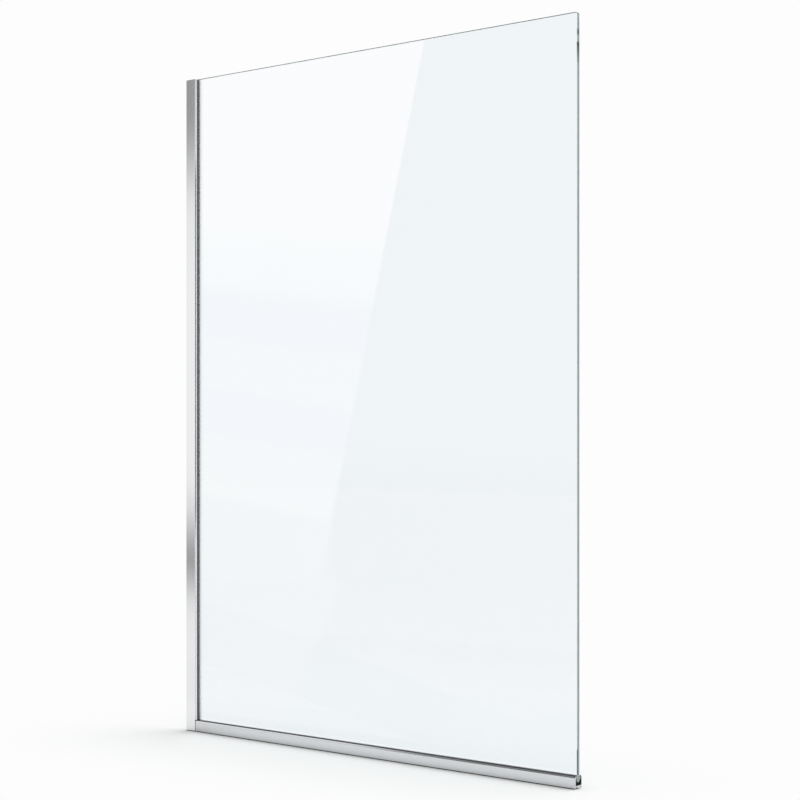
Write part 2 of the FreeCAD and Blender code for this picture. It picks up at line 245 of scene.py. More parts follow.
floor_mesh = bpy.data.meshes.new("floor")
floor_ends = (-FLOOR_REACH, FLOOR_REACH)
floor_corners = [(x, y, -FLOOR_DROP) for x, y in rectangle(floor_ends, floor_ends)]
floor_mesh.from_pydata(floor_corners, [], [(0, 1, 2, 3)])
floor = bpy.data.objects.new("floor", floor_mesh)
bpy.context.scene.collection.objects.link(floor)
floor_paint, paint_tree, paint_shader = finish_named("floor paint", (BACKDROP_WHITE,) * 3, 0.9)
paint_shader.inputs["Specular IOR Level"].default_value = 0
floor_paint.cycles.emission_sampling = "NONE"
spot = split_xyz(paint_tree, own_place(paint_tree))
past_wall = calc(paint_tree, "MULTIPLY", spot["X"], -1.0)
past_edge = calc(paint_tree, "SUBTRACT", spot["X"], cad_high.x)
past_ends = calc(paint_tree, "MAXIMUM", calc(paint_tree, "MAXIMUM", past_wall, past_edge), 0.0)
squares = [calc(paint_tree, "POWER", distance, 2.0) for distance in (past_ends, spot["Y"])]
away = calc(paint_tree, "SQRT", calc(paint_tree, "ADD", *squares))
fade = add(
    paint_tree,
    "ShaderNodeMapRange",
    {0: away, 1: SHADOW_FADE[0], 2: SHADOW_FADE[1], 3: 0.0, 4: 1.0},
    interpolation_type="SMOOTHSTEP",
)
paper = add(paint_tree, "ShaderNodeEmission", {"Color": (1, 1, 1, 1), "Strength": BACKDROP_WHITE})
shaders = {0: fade.outputs[0], 1: paint_shader.outputs[0], 2: paper.outputs[0]}
both = add(paint_tree, "ShaderNodeMixShader", shaders)
paint_tree.links.new(both.outputs[0], paint_tree.nodes["Material Output"].inputs["Surface"])
floor_mesh.materials.append(floor_paint)
floor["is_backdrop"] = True
print("shadow fades from", SHADOW_FADE[0], "to", SHADOW_FADE[1], "m")

# %% [markdown]
# ## Studio: the lamp
# A world alone gives a shadow with no direction. One very large soft lamp, high above and a little behind,
# puts a short shadow in front of the rail as in the photograph. A sun lamp with a wide angle lights the
# whole floor alike, so no pool of light shows.

# %% Soft lamp from above
LAMP_WIDTH = 60
sun_data = bpy.data.lights.new("overhead", "SUN")
sun_data.angle = radians(LAMP_WIDTH)
overhead = bpy.data.objects.new("overhead", sun_data)
toward_lamp = Vector((0.25, 0.62, 1.0))
overhead.rotation_euler = toward_lamp.to_track_quat("Z", "Y").to_euler()
overhead.visible_glossy = overhead.visible_transmission = overhead.visible_camera = False
# A white floor that faces a sun lamp of strength pi shows as 1. This lamp has a lower share, and it slants.
sun_data.energy = LAMP_SHARE * pi / (toward_lamp.z / toward_lamp.length)
bpy.context.scene.collection.objects.link(overhead)
print(f"lamp strength {sun_data.energy:.2f}")

# %% [markdown]
# ## Studio: cards that only mirrors see
# Glass and polished metal show what stands around them. In the photograph the left part of the pane mirrors
# a bright panel with a slanted edge, and the channel mirrors a panel that is grey above and below. Cards
# stand there in this scene. Light Path keeps them out of everything but mirror images: sharp ones for the
# glass, soft ones for metal.

# %% Helper for a card
def card(name, corners, sharp):
    """A flat card, as its tree and the glow that gives it its colour."""
    mesh = bpy.data.meshes.new(name)
    mesh.from_pydata(corners, [], [tuple(range(len(corners)))])
    board = bpy.data.objects.new(name, mesh)
    bpy.context.scene.collection.objects.link(board)
    board.visible_camera = board.visible_diffuse = board.visible_shadow = False
    board.visible_volume_scatter = False
    board.visible_transmission = sharp
    material = bpy.data.materials.new(name)
    material.use_nodes = True
    material.cycles.emission_sampling = "NONE"
    tree = material.node_tree
    tree.nodes.clear()
    path = add(tree, "ShaderNodeLightPath").outputs
    mirrored = calc(tree, "GREATER_THAN", path["Glossy Depth"], 0.5)
    kind = path["Is Singular Ray"] if sharp else rest_of(tree, path["Is Singular Ray"])
    glow = add(tree, "ShaderNodeEmission")
    clear = add(tree, "ShaderNodeBsdfTransparent")
    sides = {0: product(tree, mirrored, kind), 1: clear.outputs[0], 2: glow.outputs[0]}
    shown = add(tree, "ShaderNodeMixShader", sides)
    add(tree, "ShaderNodeOutputMaterial", {"Surface": shown.outputs[0]})
    mesh.materials.append(material)
    board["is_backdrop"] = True
    print(name, "with", len(corners), "corners")
    return tree, glow.inputs["Color"]


# %% [markdown]
# ## What the glass mirrors
# The mirror image in the pane is a bright panel with soft bands, and a darker flag beside it that begins at
# a slanted edge. An image texture isn't needed for so few shapes. The bands are a ramp over the height,
# tilted a little, and the slanted edge is a line whose softness grows towards the floor.

# %% Card mirrored in the glass
GLASS_CARD_X = (-3.6, -0.4)
GLASS_CARD_Y = -3.0
GLASS_CARD_TOP = 3.4
BAND_START, BAND_TILT, BAND_REACH = -2.711, 0.13, 2.0
EDGE_X, EDGE_HEIGHT, EDGE_LEAN = -2.233, 0.265, 0.256
SOFT_TO, SOFTNESS = 1.2, (0.03, 0.006)
FLAG_COLOUR = (0.25, 0.34, 0.42)
LOW_FLAG_COLOUR = (0.02, 0.10, 0.18)
LOW_FLAG_FADE = (0.35, 0.60)
PANEL_BANDS = [
    (0.000, (0.36, 0.37, 0.38)),
    (0.150, (0.42, 0.42, 0.44)),
    (0.170, (0.76, 0.73, 0.70)),
    (0.200, (0.74, 0.73, 0.72)),
    (0.290, (0.73, 0.73, 0.74)),
    (0.310, (0.62, 0.61, 0.78)),
    (0.395, (0.61, 0.61, 0.78)),
    (0.410, (0.73, 0.74, 0.76)),
    (0.505, (0.73, 0.74, 0.76)),
    (0.530, (0.62, 0.61, 0.78)),
    (0.610, (0.63, 0.63, 0.78)),
    (0.650, (0.90, 0.90, 0.92)),
    (0.750, (1.05, 0.98, 0.98)),
    (0.800, (1.20, 1.02, 1.02)),
]
upright = [(x, GLASS_CARD_Y, z) for x, z in rectangle(GLASS_CARD_X, (0, GLASS_CARD_TOP))]
tree, glow = card("glass_card", upright, sharp=True)
place = split_xyz(tree, own_place(tree))
tilt = calc(tree, "MULTIPLY", calc(tree, "SUBTRACT", place["X"], BAND_START), BAND_TILT)
band_height = calc(tree, "ADD", place["Z"], tilt)
panel_colour = ramp(tree, span(tree, band_height, 0.0, BAND_REACH), PANEL_BANDS)
lean = calc(tree, "MULTIPLY", calc(tree, "SUBTRACT", place["Z"], EDGE_HEIGHT), EDGE_LEAN)
past_edge = calc(tree, "SUBTRACT", calc(tree, "SUBTRACT", place["X"], lean), EDGE_X)
softness = span(tree, place["Z"], 0.0, SOFT_TO, to=SOFTNESS)
shade = calc(tree, "ADD", calc(tree, "DIVIDE", past_edge, softness), 0.5, clamp=True)
flag = mix_colours(tree, span(tree, place["Z"], *LOW_FLAG_FADE), LOW_FLAG_COLOUR, FLAG_COLOUR)
tree.links.new(mix_colours(tree, shade, panel_colour, flag), glow)

# %% [markdown]
# ## The floor in the foot of the glass
# Near its foot the pane mirrors the floor before it, where the panel and the flag go on. The white floor
# would show there as a bright band that the photograph doesn't have. A second card lies a hair above the
# floor, with a darker panel beside the same flag, and the edge between them is drawn on towards the glass.

# %% Card over the floor, mirrored in the foot of the glass
FLOOR_CARD_Z = 0.0004
NEAR_EDGE_Y = -0.125
NEAR_EDGE_X = (1.2, -0.4)
FLOOR_PANEL_COLOUR = (0.38, 0.39, 0.42)
FLOOR_EDGE_X, FLOOR_EDGE_SLOPE, FLOOR_EDGE_SOFTNESS = 0.245, -0.806, 0.03
NEAR_GLASS = (1.4, 0.8)
lying = [(x, GLASS_CARD_Y, FLOOR_CARD_Z) for x in GLASS_CARD_X]
lying += [(x, NEAR_EDGE_Y, FLOOR_CARD_Z) for x in NEAR_EDGE_X]
tree, glow = card("floor_card", lying, sharp=True)
place = split_xyz(tree, own_place(tree))
distance = calc(tree, "MULTIPLY", place["Y"], -1.0)
edge_line = calc(tree, "ADD", calc(tree, "MULTIPLY", distance, FLOOR_EDGE_SLOPE), FLOOR_EDGE_X)
past_edge = calc(tree, "SUBTRACT", place["X"], edge_line)
shade = span(tree, past_edge, -FLOOR_EDGE_SOFTNESS, FLOOR_EDGE_SOFTNESS)
flag = mix_colours(tree, span(tree, distance, *NEAR_GLASS), LOW_FLAG_COLOUR, FLAG_COLOUR)
tree.links.new(mix_colours(tree, shade, FLOOR_PANEL_COLOUR, flag), glow)

# %% [markdown]
# ## What the metal mirrors
# The channel's face is bright in the middle and grey towards its head and foot, because it mirrors a white
# panel with dark room above and floor below. Three upright cards give these greys as ramps over their
# height, and one on the floor gives the rail what it mirrors.

# %% Cards mirrored in the metal
def metal_card(name, y, x_range, z_range, stops):
    """An upright card for the metal, with grey levels from its foot to its top."""
    tree, glow = card(name, [(x, y, z) for x, z in rectangle(x_range, z_range)], sharp=False)
    height = split_xyz(tree, own_place(tree))["Z"]
    tree.links.new(ramp(tree, span(tree, height, *z_range), stops), glow)


FOOT_GREYS = [(0.00, 0.42), (0.10, 0.28), (0.30, 0.40), (0.60, 0.74), (0.77, 0.88), (1.00, 0.95)]
HEAD_GREYS = [(0.00, 0.97), (0.25, 0.93), (0.42, 0.49), (0.50, 0.36), (0.58, 0.34), (1.00, 0.34)]
SKY_GREYS = [(0.00, 0.34), (0.15, 0.22), (0.9, 0.22), (1.00, 0.9)]
GROUND_GREYS = [(0.00, 0.96), (0.08, 0.93), (0.30, 0.93), (0.60, 0.86), (0.86, 0.62), (1.00, 0.42)]
GROUND_X = (-5.5, 0.5)
GROUND_FAR, GROUND_NEAR = -3.0, -0.2
metal_card("metal_card_foot", -3.0, (-5.5, 1.0), (0.0, 0.4), FOOT_GREYS)
metal_card("metal_card_head", -6.0, (-9.0, 2.0), (1.7, 3.9), HEAD_GREYS)
metal_card("metal_card_sky", -6.0, (-5.5, 2.0), (3.9, 6.5), SKY_GREYS)
ground = [(x, y, FLOOR_CARD_Z) for x, y in rectangle(GROUND_X, (GROUND_FAR, GROUND_NEAR))]
tree, glow = card("metal_card_ground", ground, sharp=False)
distance = span(tree, split_xyz(tree, own_place(tree))["Y"], GROUND_NEAR, GROUND_FAR)
tree.links.new(ramp(tree, distance, GROUND_GREYS), glow)

# %% [markdown]
# ## Shared surface effects
# Every real finish has small faults: lines that the die leaves along an extrusion, the film that water and
# hands leave, and the fine grain of rubber. Each effect is a node group, so that one change improves every
# material that uses it. A group gives only numbers, and each material decides what they change.

# %% Helpers for shader groups
def effect_group(name, sizes, results):
    """A shader group with a Vector input, the given inputs and number outputs, and its two ends."""
    group = bpy.data.node_groups.new(name, "ShaderNodeTree")
    group.interface.new_socket(name="Vector", in_out="INPUT", socket_type="NodeSocketVector")
    for label, value in sizes.items():
        kind = "NodeSocketVector" if isinstance(value, tuple) else "NodeSocketFloat"
        group.interface.new_socket(name=label, in_out="INPUT", socket_type=kind).default_value = value
    for label in results:
        group.interface.new_socket(name=label, in_out="OUTPUT", socket_type="NodeSocketFloat")
    return group, add(group, "NodeGroupInput").outputs, add(group, "NodeGroupOutput").inputs


def noise(tree, vector, scale, **settings):
    """A Noise Texture and its value."""
    return add(tree, "ShaderNodeTexNoise", {"Vector": vector, "Scale": scale, **settings}).outputs[0]


def use(tree, group, **values):
    """Places a group in a material. Underscores in the names stand for spaces."""
    named = {name.replace("_", " "): value for name, value in values.items()}
    return add(tree, "ShaderNodeGroup", named, node_tree=group).outputs


# %% [markdown]
# ## Die lines
# Aluminium that is pressed through a die keeps fine scratches along its length. Noise that is squeezed
# across the run and stretched along it draws them at any length. Fine lines and a few broad ones are added
# up.

# %% Die lines along an extrusion
FINE_SHARE, COARSE_SHARE, COARSE_SCALE = 0.6, 0.4, 0.12
die_lines, lines_in, lines_out = effect_group(
    "die lines", {"Lines per metre": 4000.0, "Run": (1, 1, 0.004)}, ("Tone", "Height")
)
vectors = {0: lines_in["Vector"], 1: lines_in["Run"]}
stretched = add(die_lines, "ShaderNodeVectorMath", vectors, operation="MULTIPLY").outputs[0]
fine = noise(die_lines, stretched, lines_in["Lines per metre"], Detail=2.0, Roughness=0.6)
coarse_lines = calc(die_lines, "MULTIPLY", lines_in["Lines per metre"], COARSE_SCALE)
coarse = noise(die_lines, stretched, coarse_lines, Detail=1.0)
fine_part = calc(die_lines, "MULTIPLY", fine, FINE_SHARE)
coarse_part = calc(die_lines, "MULTIPLY", coarse, COARSE_SHARE)
die_lines.links.new(calc(die_lines, "ADD", fine_part, coarse_part), lines_out["Tone"])
die_lines.links.new(fine, lines_out["Height"])
print(die_lines.name, "has inputs", [s.name for s in lines_in if s.name])

# %% [markdown]
# ## Film of dried water and fingers
# Glass and metal in a bathroom are never quite clean. Large soft patches stand for the film that is wiped
# on, and small rings, which show only inside the patches, for dried drops.

# %% Film of dried water and fingers
RING_EDGE = (0.10, 0.06)
PATCH_EDGE = (0.52, 0.72)
water_film, film_in, film_out = effect_group(
    "water film", {"Patches per metre": 9.0, "Spots per metre": 90.0}, ("Film", "Spots")
)
patches = noise(water_film, film_in["Vector"], film_in["Patches per metre"], Detail=4.0)
cell_values = {"Vector": film_in["Vector"], "Scale": film_in["Spots per metre"], "Randomness": 1.0}
cells = add(water_film, "ShaderNodeTexVoronoi", cell_values)
patch = span(water_film, patches, *PATCH_EDGE)
ring = span(water_film, cells.outputs["Distance"], *RING_EDGE)
water_film.links.new(patch, film_out["Film"])
water_film.links.new(product(water_film, ring, patch), film_out["Spots"])
print(water_film.name, "has inputs", [s.name for s in film_in if s.name])

# %% [markdown]
# ## Grain
# Rubber and moulded plastic are dull because their skin is full of tiny pits, and their colour drifts
# slowly from place to place. One fine noise gives the pits and one broad noise the drift.

# %% Grain of moulded and extruded parts
DRIFTS_PER_METRE = 60.0
moulded_grain, grain_in, grain_out = effect_group(
    "moulded grain", {"Grains per metre": 6000.0}, ("Tone", "Height")
)
drift = noise(moulded_grain, grain_in["Vector"], DRIFTS_PER_METRE, Detail=2.0)
pits = noise(moulded_grain, grain_in["Vector"], grain_in["Grains per metre"], Detail=3.0)
moulded_grain.links.new(drift, grain_out["Tone"])
moulded_grain.links.new(pits, grain_out["Height"])
print("effects", [g.name for g in bpy.data.node_groups])

# %% [markdown]
# ## Extruded aluminium
# The channel, the inner profile and the rail are extruded aluminium with a bright anodised finish. Metal has
# no colour of its own under the mirror image, so the base colour is the share of light that it gives back. The
# die lines follow the length. Three places get painted light and shade in their colour: the foot of the rail
# gets painted shade, the joint beside the glass gets a painted dark reflection of its own inside, and the end
# of one leg of the rail gets painted shade. Masks on place and on the way a face looks find them.

# %% Recipe for extruded aluminium
TONE_SPREAD = 0.025
FOOT_SHADE_SPAN = (0.002, 0.014)
END_ON = (0.85, 0.95)
END_SHADE_DEPTH, END_SHADE_EDGE_Y, END_SHADE_EDGE_Z = 0.9, 0.0001, 0.0005
JOINT_FOOT, JOINT_HEAD, JOINT_REFLECTION_DEPTH, JOINT_EDGE = (0.41, 0.47), (1.24, 1.18), 0.9, 0.0005
NOISE_MIDDLE = (0.3, 0.7)
FILM_DULLS = 0.03


def extruded_aluminium(name, colour, roughness, run, painted_foot_shade=1.0, painted_joint_x=None, painted_end_shade=None):
    """Bright anodised aluminium whose die lines follow the axis that run stretches.

    Three arguments paint light and shade into the colour. The foot value is painted shade that darkens the
    lowest centimetre. The joint X is where faces that look along +X, in the joint beside the glass, are
    painted dark as a painted reflection of its dark inside. The (Y, Z) for the rail's end is where the end at
    +X is painted dark, as painted shade.
    """
    material, tree, shader = finish_named(name, colour, roughness, metallic=1.0)
    here = own_place(tree)
    place = split_xyz(tree, here)
    end_on = span(tree, looks_along(tree)["X"], *END_ON)
    lines = use(tree, die_lines, Vector=here, Lines_per_metre=2600.0, Run=run)
    film = use(tree, water_film, Vector=here, Patches_per_metre=7.0, Spots_per_metre=160.0)
    tones = [[share * c for c in colour] for share in (1 - TONE_SPREAD, 1 + TONE_SPREAD)]
    tone = mix_colours(tree, lines["Tone"], *tones)
    # Painted shade: the colour darkens towards the foot, over the lowest centimetre.
    level = span(tree, place["Z"], *FOOT_SHADE_SPAN, to=(painted_foot_shade, 1.0))
    # Painted shade: the end of the rail's rear leg is darkened.
    if painted_end_shade:
        behind = span(tree, place["Y"], painted_end_shade[0], painted_end_shade[0] + END_SHADE_EDGE_Y)
        above = span(tree, place["Z"], painted_end_shade[1], painted_end_shade[1] + END_SHADE_EDGE_Z)
        level = product(tree, level, rest_of(tree, product(tree, behind, above, end_on, END_SHADE_DEPTH)))
    # Painted reflection: in the joint beside the glass, faces that look along +X are darkened as if they
    # mirrored its dark inside.
    if painted_joint_x:
        inside = span(tree, place["X"], painted_joint_x - JOINT_EDGE, painted_joint_x)
        ends = [span(tree, place["Z"], *end) for end in (JOINT_FOOT, JOINT_HEAD)]
        level = product(tree, level, rest_of(tree, product(tree, end_on, inside, *ends, JOINT_REFLECTION_DEPTH)))
    shaded = add(tree, "ShaderNodeVectorMath", {0: tone, "Scale": level}, operation="SCALE").outputs[0]
    rough = span(tree, lines["Tone"], *NOISE_MIDDLE, to=(0.85 * roughness, 1.2 * roughness))
    rough = calc(tree, "ADD", rough, product(tree, film["Film"], FILM_DULLS))
    tree.links.new(rough, shader.inputs["Roughness"])
    wire(tree, shader, shaded, lines["Height"], 0.05, 0.00002)
    return material


# %% [markdown]
# ## Three finishes of one metal
# In the photograph the channel is a clear mirror, the narrow inner profile is softer and lighter, and the
# rail is a shade darker. The recipe makes all three with its own roughness and colour for each.

# %% Channel, profile and rail
ALONG_Z = (1, 1, 0.004)
ALONG_X = (0.004, 1, 1)
CHANNEL_LIP_X = 0.0269
REAR_LEG = (0.0084, 0.0063)
# The channel gets a painted reflection in the joint beside the glass.
channel_aluminium = extruded_aluminium(
    "channel aluminium", (0.845, 0.853, 0.866), 0.10, ALONG_Z, painted_joint_x=CHANNEL_LIP_X
)
profile_aluminium = extruded_aluminium("profile aluminium", (0.97, 0.972, 0.978), 0.34, ALONG_Z)
# The rail gets painted shade at its foot and on the end of its rear leg.
rail_aluminium = extruded_aluminium(
    "rail aluminium", (0.70, 0.71, 0.725), 0.12, ALONG_X, painted_foot_shade=0.82, painted_end_shade=REAR_LEG
)
print("metals", [m.name for m in (channel_aluminium, profile_aluminium, rail_aluminium)])

# %% [markdown]
# ## Glass: the clear face
# A toughened pane is clear over its face and ground along its edge, so it needs two finishes. The face is
# plain glass with a breath of colour, a shade darker where the film lies. Lamps and the floor's own rays go
# straight through, or the pane would throw a shadow like a board.

# %% Clear face
GLASS_INDEX = 1.52
FACE_TINT = (0.952, 0.982, 0.998)
FILM_TINT = (0.947, 0.978, 0.994)
FACE_SHADOW = (0.93, 0.95, 0.95)


def let_light_through(tree, shader, tint):
    """Mixes in a Transparent shader for shadow and diffuse rays."""
    path = add(tree, "ShaderNodeLightPath").outputs
    passing = calc(tree, "MAXIMUM", path["Is Shadow Ray"], path["Is Diffuse Ray"])
    clear = add(tree, "ShaderNodeBsdfTransparent", {"Color": (*tint, 1)})
    both = add(tree, "ShaderNodeMixShader", {0: passing, 1: shader.outputs[0], 2: clear.outputs[0]})
    tree.links.new(both.outputs[0], tree.nodes["Material Output"].inputs["Surface"])


clear_glass, tree, shader = finish_named(
    "clear glass", FACE_TINT, 0.0, IOR=GLASS_INDEX, Transmission_Weight=1.0
)
film = use(tree, water_film, Vector=own_place(tree), Patches_per_metre=2.5, Spots_per_metre=45.0)
tree.links.new(mix_colours(tree, film["Film"], FACE_TINT, FILM_TINT), shader.inputs["Base Color"])
let_light_through(tree, shader, FACE_SHADOW)
print("face tint", FACE_TINT)

# %% [markdown]
# ## Glass: the ground edge
# The edge is cloudy, because grinding scatters the light that runs inside the pane. Seen closely it isn't one
# tone. The flats that look up, two bands high on the upright edge, and the edge's front just above the rail
# are painted dark, as a painted reflection of the dark inside of the pane, and the front arris of the upright
# edge gets a painted highlight. Each is a mask, and each painted dark band fades in upwards and ends more
# sharply.

# %% Ground edge
EDGE_TINTS = ((0.34, 0.44, 0.44), (0.46, 0.56, 0.56))
EDGE_PAINTED_DARK = (0.02, 0.03, 0.03)
EDGE_PAINTED_HIGHLIGHT = (0.93, 0.95, 0.95)
EDGE_SHADOW = (0.75, 0.85, 0.84)
LOOKS_UP = (0.25, 0.40)
ABOVE_RAIL = ((0.074, 0.069), (0.0250, 0.0262))
FRONT_HALF = (-0.0005, -0.0015)
FOOT_DEPTH = 0.8
PAINTED_DARK_BANDS = ((1.306, 1.342, 1.3480, 1.3445, 1.0), (1.3560, 1.3620, 1.3720, 1.3660, 0.7))
DARK_BAND_BEND = 0.7
LOOKS_OUT, LOOKS_FRONT = (0.5, 0.6), (-0.5, -0.6)
ground_edge, tree, shader = finish_named(
    "ground glass edge", (0.40, 0.50, 0.50), 0.3, IOR=GLASS_INDEX, Transmission_Weight=0.35
)
here = own_place(tree)
place, looks = split_xyz(tree, here), looks_along(tree)
grain = use(tree, moulded_grain, Vector=here, Grains_per_metre=4000.0)
# Painted reflection: the front of the edge just above the rail is painted dark.
low_dark = product(tree, *[span(tree, place["Z"], *end) for end in ABOVE_RAIL])
foot_dark = product(tree, low_dark, span(tree, place["Y"], *FRONT_HALF), FOOT_DEPTH)
# Painted reflection: two bands high on the upright edge are painted dark.
painted_bands = []
for start, full, end, fade_from, depth in PAINTED_DARK_BANDS:
    fading = calc(tree, "POWER", span(tree, place["Z"], start, full), DARK_BAND_BEND)
    painted_bands.append(product(tree, fading, span(tree, place["Z"], end, fade_from), depth))
high_dark = calc(tree, "MAXIMUM", *painted_bands)
# Painted reflection: flats that look up are painted dark.
dark = calc(tree, "MAXIMUM", span(tree, looks["Z"], *LOOKS_UP), high_dark)
dark = calc(tree, "MAXIMUM", dark, foot_dark)
outside_dark_bands = rest_of(tree, calc(tree, "MAXIMUM", low_dark, high_dark))
# Painted highlight: the front arris of the upright edge is painted light.
painted_highlight = product(tree, span(tree, looks["X"], *LOOKS_OUT), span(tree, looks["Y"], *LOOKS_FRONT), outside_dark_bands)
edge_colour = mix_colours(tree, dark, mix_colours(tree, grain["Tone"], *EDGE_TINTS), EDGE_PAINTED_DARK)
wire(tree, shader, mix_colours(tree, painted_highlight, edge_colour, EDGE_PAINTED_HIGHLIGHT), grain["Height"], 0.2, 0.00003)
let_light_through(tree, shader, EDGE_SHADOW)
print("edge marks from", PAINTED_DARK_BANDS[0][0], "to", PAINTED_DARK_BANDS[-1][2], "m")

# %% [markdown]
# ## Rubber and plastic
# The small parts differ in how soft they look. Black rubber is dark and dull with a fine grain, clear seals
# are milky, and packers and washers are plain plastic. One recipe with a grain covers them. The rail's clear
# seal is painted black where its foot locks into the metal, as painted shade.

# %% Recipe for dull moulded parts
SEAL_SHADE_BLACK = (0.01, 0.01, 0.012)
SEAL_SHADE_EDGE = 0.0002
ROUGH_DRIFT = 0.06


def moulded(name, dark, light, roughness, grains, depth, painted_shade_y=None, **constants):
    """A moulded finish: two close tones, a grain and a roughness that follow it.

    The optional Y is where painted shade begins: past it the seal is painted black, as shade where its foot
    locks into the metal.
    """
    material, tree, shader = finish_named(name, dark, roughness, **constants)
    here = own_place(tree)
    grain = use(tree, moulded_grain, Vector=here, Grains_per_metre=grains)
    tone = mix_colours(tree, grain["Tone"], dark, light)
    # Painted shade: past the given Y the seal is painted black.
    if painted_shade_y:
        in_painted_shade = span(tree, split_xyz(tree, here)["Y"], painted_shade_y, painted_shade_y + SEAL_SHADE_EDGE)
        tone = mix_colours(tree, in_painted_shade, tone, SEAL_SHADE_BLACK)
    rough = span(tree, grain["Height"], *NOISE_MIDDLE, to=(roughness - ROUGH_DRIFT, roughness + ROUGH_DRIFT))
    tree.links.new(rough, shader.inputs["Roughness"])
    wire(tree, shader, tone, grain["Height"], 0.3, depth)
    return material


RUBBER = (5000.0, 0.00003)
PLASTIC = (2500.0, 0.00002)
CLEAR = ((0.95, 0.96, 0.965), (0.97, 0.975, 0.98), 0.32, *PLASTIC)
SEAL_SHADE_Y = 0.0069
black_rubber = moulded("black gasket rubber", (0.016, 0.018, 0.021), (0.026, 0.028, 0.032), 0.55, *RUBBER)
# A lighter grey than the other black rubber: partly a painted sheen for the nose of the upright gasket.
upright_rubber = moulded("upright gasket rubber", (0.052, 0.055, 0.062), (0.070, 0.074, 0.082), 0.40, *RUBBER)
strip_rubber = moulded(
    "strip rubber", (0.003, 0.003, 0.004), (0.006, 0.006, 0.007), 0.70, *RUBBER, Specular_IOR_Level=0.15
)
clear_seal = moulded("clear seal plastic", *CLEAR)
# The rail's clear seal, with painted shade near its foot.
rail_clear_seal = moulded("rail seal plastic with painted shade", *CLEAR, painted_shade_y=SEAL_SHADE_Y)
clear_packer = moulded("clear packer plastic", (0.84, 0.86, 0.87), (0.88, 0.90, 0.91), 0.28, *PLASTIC)
white_nylon = moulded("white nylon", (0.80, 0.80, 0.78), (0.85, 0.85, 0.84), 0.42, 3000.0, 0.00002)
print("clear seals in two finishes, the rail's black past Y", SEAL_SHADE_Y)

# %% [markdown]
# ## Plated caps and steel fixings
# The caps are plated plastic, nearly a mirror, and the screws are turned steel, which is duller. Both keep
# a faint grain in their gloss, so one recipe makes them.

# %% Plated caps and steel fixings
DARKER_SHARE = 0.93


def bright_metal(name, colour, roughness, grains):
    """Plated or turned metal with a faint grain in its gloss."""
    material, tree, shader = finish_named(name, colour, roughness, metallic=1.0)
    grain = use(tree, moulded_grain, Vector=own_place(tree), Grains_per_metre=grains)
    tone = mix_colours(tree, grain["Tone"], [DARKER_SHARE * c for c in colour], colour)
    rough = span(tree, grain["Height"], *NOISE_MIDDLE, to=(roughness * 0.8, roughness * 1.3))
    tree.links.new(rough, shader.inputs["Roughness"])
    wire(tree, shader, tone, grain["Height"], 0.06, 0.00002)
    return material


cap_plating = bright_metal("plated cap", (0.80, 0.81, 0.83), 0.09, 1500.0)
fixing_steel = bright_metal("steel fixing", (0.62, 0.62, 0.61), 0.26, 2200.0)
print("bright metals", cap_plating.name, "and", fixing_steel.name)

# %% [markdown]
# ## Finishes for the CAD nodes
# The profiles, end caps, clamp plates, washers and corner pads have their true shape in CAD already, so
# they stay and only get a finish. The others get one too, in case a piece below is left out.

# %% Give the CAD nodes their finishes
finishes = {
    "wall_channel": channel_aluminium,
    "inner_profile": profile_aluminium,
    "bottom_rail": rail_aluminium,
    "channel_top_cap": cap_plating,
    "inner_top_cap": cap_plating,
    "channel_foot_plug": black_rubber,
    "clamp_screws": fixing_steel,
    "clamp_plates": fixing_steel,
    "screw_cap_bases": white_nylon,
    "screw_caps": cap_plating,
    "profile_gasket_front": black_rubber,
    "profile_seal_rear": clear_seal,
    "edge_packers": clear_packer,
    "rail_gasket_front": black_rubber,
    "rail_seal_rear": rail_clear_seal,
    "rail_setting_strip": strip_rubber,
    "rim_seal": black_rubber,
    "corner_pad_front": black_rubber,
    "corner_pad_rear": clear_seal,
}
for node, finish in finishes.items():
    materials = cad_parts[node].data.materials
    materials.clear()
    materials.append(finish)
print("finished nodes", len(finishes))

# %% [markdown]
# ## The outline of the pane
# The pane is a slab with four rounded corners and a small flat ground off every edge, the arris. A bevel
# modifier would round all corners alike, but the free top corner of a screen has a larger radius than the
# others, so the outline is written as points with a radius for each corner.

# %% Rounded outline
def rounded_outline(low, high, radii, inset, steps=9):
    """Points round a rectangle with its own radius at each corner, moved inwards by inset.

    radii begin at the corner of low X and low Z and go round by high X, high Z and low X again.
    """
    turns = (pi, 1.5 * pi, 0.0, 0.5 * pi)
    points = []
    for (x, z), start, radius in zip(rectangle((low[0], high[0]), (low[1], high[1])), turns, radii):
        centre_x = x + (radius if x == low[0] else -radius)
        centre_z = z + (radius if z == low[1] else -radius)
        for step in range(steps + 1):
            angle = start + 0.5 * pi * step / steps
            reach = radius - inset
            points.append((centre_x + reach * cos(angle), centre_z + reach * sin(angle)))
    return points


# %% [markdown]
# ## The glass pane
# Each arris catches light as one thin line, so they are real faces here. Four rings of points, one for each
# change of depth, are joined by bands. The front arris along the top is ground wider than the others. The
# two large faces get the clear finish and every band gets the ground one.

# %% Build the pane
ARRIS = 0.0006
TOP_ARRIS = 0.0011
TOP_REACH = 0.003
PANE_RADII = (0.002, 0.002, 0.005, 0.002)
pane_low, pane_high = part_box("glass_pane")
front, back = pane_low.y, pane_high.y
rings = []
for depth, inset in ((front, ARRIS), (front + ARRIS, 0), (back - ARRIS, 0), (back, ARRIS)):
    outline = rounded_outline((pane_low.x, pane_low.z), (pane_high.x, pane_high.z), PANE_RADII, inset)
    if depth == front:
        near_top = [(z - pane_high.z + TOP_REACH) / (TOP_REACH - ARRIS) for _, z in outline]
        shares = [min(max(share, 0.0), 1.0) for share in near_top]
        outline = [(x, z - (TOP_ARRIS - ARRIS) * share) for (x, z), share in zip(outline, shares)]
    rings.append([(x, depth, z) for x, z in outline])
count = len(rings[0])
faces = [tuple(range(count)), tuple(3 * count + i for i in reversed(range(count)))]
